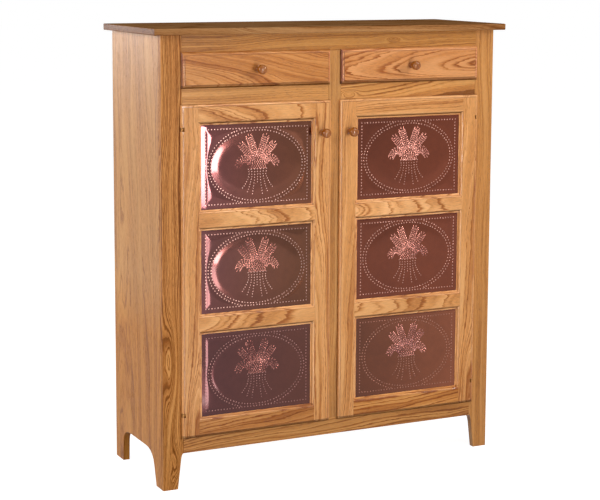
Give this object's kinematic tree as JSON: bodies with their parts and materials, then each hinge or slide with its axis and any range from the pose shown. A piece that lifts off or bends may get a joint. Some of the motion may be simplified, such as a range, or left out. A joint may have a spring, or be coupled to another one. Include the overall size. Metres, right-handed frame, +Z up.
{
  "type": "pie safe",
  "caption": "Tall wooden pie safe with lipped drawers over a pair of doors that hold punched copper panels, on arched feet.",
  "frame": {"origin": "on the floor, in the middle of the overall width and depth", "axes": "+Z up, +X to the right as seen from the front, +Y to the back; the doors and drawers face -Y"},
  "size_m": [1.093, 0.4272, 1.27],
  "materials": {
    "oak_case": "satin clear varnish",
    "oak_door": "satin clear varnish",
    "oak_inside": "thin matt varnish",
    "plywood": "thin matt varnish",
    "drawer_wood": "thin matt varnish",
    "knob_wood": "gloss varnish",
    "copper": "antiqued glossy copper",
    "hinge_brass": "antique satin",
    "catch_plastic": "moulded"
  },
  "bodies": {
    "case": {"top_board": "oak_case", "left_side_panel": "oak_case", "right_side_panel": "oak_case", "left_face_stile": "oak_case", "right_face_stile": "oak_case", "centre_stile": "oak_case", "top_rail": "oak_case", "left_middle_rail": "oak_case", "right_middle_rail": "oak_case", "bottom_rail": "oak_case", "bottom_board": "oak_inside", "lower_shelf": "oak_inside", "upper_shelf": "oak_inside", "drawer_deck": "oak_inside", "back_panel": "plywood", "left_drawer_guide": "oak_inside", "right_drawer_guide": "oak_inside", "centre_drawer_guide": "oak_inside", "left_door_catch": "catch_plastic", "right_door_catch": "catch_plastic", "left_upper_hinge_frame_leaf": "hinge_brass", "left_lower_hinge_frame_leaf": "hinge_brass", "right_upper_hinge_frame_leaf": "hinge_brass", "right_lower_hinge_frame_leaf": "hinge_brass"},
    "left_door": {"left_door_hinge_stile": "oak_door", "left_door_latch_stile": "oak_door", "left_door_top_rail": "oak_door", "left_door_upper_rail": "oak_door", "left_door_lower_rail": "oak_door", "left_door_bottom_rail": "oak_door", "left_upper_punched_panel": "copper", "left_middle_punched_panel": "copper", "left_lower_punched_panel": "copper", "left_door_knob": "knob_wood", "left_upper_hinge_door_leaf": "hinge_brass", "left_lower_hinge_door_leaf": "hinge_brass"},
    "right_door": {"right_door_hinge_stile": "oak_door", "right_door_latch_stile": "oak_door", "right_door_top_rail": "oak_door", "right_door_upper_rail": "oak_door", "right_door_lower_rail": "oak_door", "right_door_bottom_rail": "oak_door", "right_upper_punched_panel": "copper", "right_middle_punched_panel": "copper", "right_lower_punched_panel": "copper", "right_door_knob": "knob_wood", "right_upper_hinge_door_leaf": "hinge_brass", "right_lower_hinge_door_leaf": "hinge_brass"},
    "left_drawer": {"left_drawer_front": "oak_door", "left_drawer_outer_side": "drawer_wood", "left_drawer_inner_side": "drawer_wood", "left_drawer_back": "drawer_wood", "left_drawer_bottom": "plywood", "left_drawer_knob": "knob_wood"},
    "right_drawer": {"right_drawer_front": "oak_door", "right_drawer_outer_side": "drawer_wood", "right_drawer_inner_side": "drawer_wood", "right_drawer_back": "drawer_wood", "right_drawer_bottom": "plywood", "right_drawer_knob": "knob_wood"}
  },
  "joints": [
    {"name": "left_door_hinge", "type": "hinge", "parent": "case", "child": "left_door", "pos_m": [-0.4635, -0.17105, 0.6035], "axis": [0, 0, -1], "range_deg": [0, 165]},
    {"name": "right_door_hinge", "type": "hinge", "parent": "case", "child": "right_door", "pos_m": [0.4635, -0.17105, 0.6035], "axis": [0, 0, 1], "range_deg": [0, 165]},
    {"name": "left_drawer_slide", "type": "slide", "parent": "case", "child": "left_drawer", "axis": [0, -1, 0], "range_m": [0, 0.25]},
    {"name": "right_drawer_slide", "type": "slide", "parent": "case", "child": "right_drawer", "axis": [0, -1, 0], "range_m": [0, 0.25]}
  ]
}
